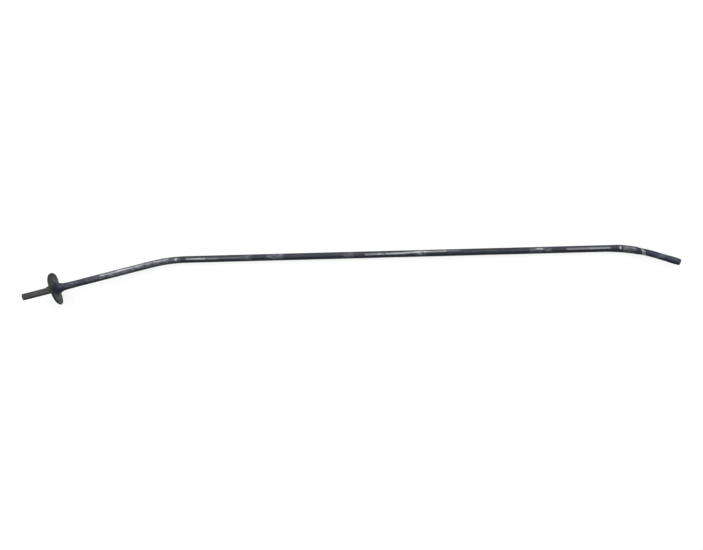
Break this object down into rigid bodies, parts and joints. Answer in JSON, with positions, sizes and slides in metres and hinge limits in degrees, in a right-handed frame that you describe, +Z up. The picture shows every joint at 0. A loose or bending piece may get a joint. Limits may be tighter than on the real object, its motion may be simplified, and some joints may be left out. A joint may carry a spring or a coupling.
{
  "type": "drill paint mixing rod",
  "caption": "Long coated steel rod with two gentle bends, a round guard disc and a bare hexagonal drill shank, spun by a drill to stir paint in a tall drum.",
  "frame": {"origin": "on the ground, under the middle of the box of the rod as it lies on its long middle run and the disc's rim", "axes": "+X along the middle run from the shank's bend to the tip's bend, both ends bent towards -Y and a little up, +Z up from the ground"},
  "size_m": [0.8984, 0.0624, 0.0447],
  "materials": {
    "bare_steel": "dull bare steel, lightly scratched",
    "hidden_steel": "mill finish",
    "weld_metal": "dark weld bead",
    "disc_coat": "satin black dip coating",
    "gloss_coat": "glossy blue-black dip coating, uneven",
    "seam_grey": "pale scuffed sealant",
    "matt_coat": "matt black"
  },
  "bodies": {
    "root": {"hex_shank": "bare_steel", "rod_core": "hidden_steel", "guard_disc": "hidden_steel", "shank_weld": "weld_metal", "rod_weld": "weld_metal", "disc_coating": "disc_coat", "rod_sleeve": "gloss_coat", "seam_band": "seam_grey", "tip_cap": "matt_coat"}
  },
  "joints": []
}
